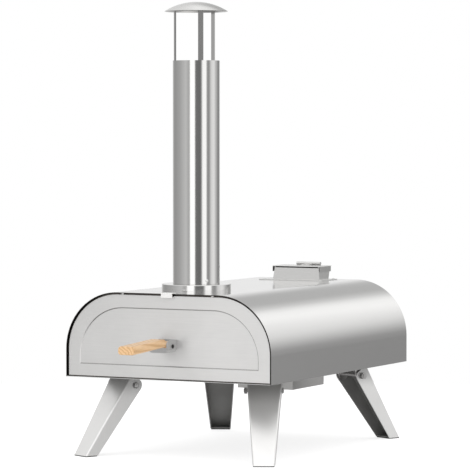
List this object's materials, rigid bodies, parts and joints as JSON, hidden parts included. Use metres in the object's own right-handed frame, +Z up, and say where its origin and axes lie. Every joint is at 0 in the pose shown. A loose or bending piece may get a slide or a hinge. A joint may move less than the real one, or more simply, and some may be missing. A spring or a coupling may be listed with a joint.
{
  "type": "wood fired pizza oven",
  "caption": "Tabletop wood pellet pizza oven: arched double-walled steel body on folding splayed legs, with lift-off door and chimney, lidded hopper and burner tray.",
  "frame": {"origin": "on the ground, midway between the tips of the door grip and of the tray handle, on the oven's middle plane", "axes": "+X to the right seen from the front, +Y to the back, +Z up"},
  "size_m": [0.37, 0.684, 0.7355],
  "materials": {
    "steel": "brushed stainless sheet, grain along the long side",
    "chimney_steel": "bright rolled stainless tube, grain around",
    "chamber_steel": "mill-finish stainless, heat tinted",
    "burner_steel": "plain stainless sheet",
    "fastener_steel": "bright stainless screws and rivets",
    "black_steel": "black oxide socket screws",
    "stone": "pale cordierite, sanded",
    "grip_wood": "light oiled ash",
    "silicone": "matt silicone",
    "insulation": "ceramic fibre blanket"
  },
  "bodies": {
    "housing": {"bottom_plate": "steel", "bracket_rivets": "fastener_steel", "burner_box": "burner_steel", "burner_rivets": "fastener_steel", "chamber_rear_wall": "chamber_steel", "chimney_collar": "chimney_steel", "chimney_spigot": "chamber_steel", "flame_guard": "chamber_steel", "front_frame": "steel", "hinge_leaf_hopper": "steel", "hinge_pin": "fastener_steel", "hopper_chute": "steel", "hopper_flange": "steel", "hopper_rivets": "fastener_steel", "housing_screws": "fastener_steel", "inner_chamber": "chamber_steel", "insulation_blanket": "insulation", "leg_bracket_front_left": "steel", "leg_bracket_front_right": "steel", "leg_bracket_rear_left": "steel", "leg_bracket_rear_right": "steel", "leg_pivot_bolts": "fastener_steel", "leg_pivot_nuts": "fastener_steel", "outer_housing": "steel", "pizza_stone": "stone", "rear_insulation": "insulation", "rear_panel": "steel", "rim_tab_left": "steel", "rim_tab_right": "steel", "spigot_rivets": "fastener_steel", "stone_rail_left": "chamber_steel", "stone_rail_right": "chamber_steel"},
    "door": {"door_plate": "steel", "door_hook": "steel", "handle_bracket": "steel", "handle_grip": "grip_wood", "handle_screws": "black_steel", "door_rivets": "fastener_steel"},
    "chimney": {"chimney_tube": "chimney_steel", "chimney_cap": "chimney_steel", "cap_strap_1": "chimney_steel", "cap_strap_2": "chimney_steel", "cap_strap_3": "chimney_steel", "chimney_screw": "fastener_steel"},
    "lid": {"hopper_lid": "steel", "hinge_leaf_lid": "steel"},
    "burner_tray": {"fuel_tray": "burner_steel", "burn_grate": "chamber_steel", "tray_handle": "steel", "tray_rivets": "fastener_steel"},
    "front_left_leg": {"leg_front_left": "steel", "foot_pad_front_left": "silicone"},
    "front_right_leg": {"leg_front_right": "steel", "foot_pad_front_right": "silicone"},
    "rear_left_leg": {"leg_rear_left": "steel", "foot_pad_rear_left": "silicone"},
    "rear_right_leg": {"leg_rear_right": "steel", "foot_pad_rear_right": "silicone"}
  },
  "joints": [
    {"name": "door_lift_off", "type": "slide", "parent": "housing", "child": "door", "axis": [0, -1, 0], "range_m": [0, 0.15]},
    {"name": "chimney_lift_off", "type": "slide", "parent": "housing", "child": "chimney", "axis": [0, 0, 1], "range_m": [0, 0.1]},
    {"name": "lid_hinge", "type": "hinge", "parent": "housing", "child": "lid", "pos_m": [0, 0.3139, 0.2956], "axis": [-1, 0, 0], "range_deg": [0, 105]},
    {"name": "tray_slide", "type": "slide", "parent": "housing", "child": "burner_tray", "axis": [0, 1, 0], "range_m": [0, 0.13]},
    {"name": "front_left_leg_fold", "type": "hinge", "parent": "housing", "child": "front_left_leg", "pos_m": [-0.1269, -0.1136, 0.1125], "axis": [0.9026, -0.4305, 0], "range_deg": [0, 120]},
    {"name": "front_right_leg_fold", "type": "hinge", "parent": "housing", "child": "front_right_leg", "pos_m": [0.1269, -0.1136, 0.1125], "axis": [0.9026, 0.4305, 0], "range_deg": [0, 120]},
    {"name": "rear_left_leg_fold", "type": "hinge", "parent": "housing", "child": "rear_left_leg", "pos_m": [-0.1269, 0.2196, 0.1125], "axis": [-0.9026, -0.4305, 0], "range_deg": [0, 120]},
    {"name": "rear_right_leg_fold", "type": "hinge", "parent": "housing", "child": "rear_right_leg", "pos_m": [0.1269, 0.2196, 0.1125], "axis": [-0.9026, 0.4305, 0], "range_deg": [0, 120]}
  ]
}
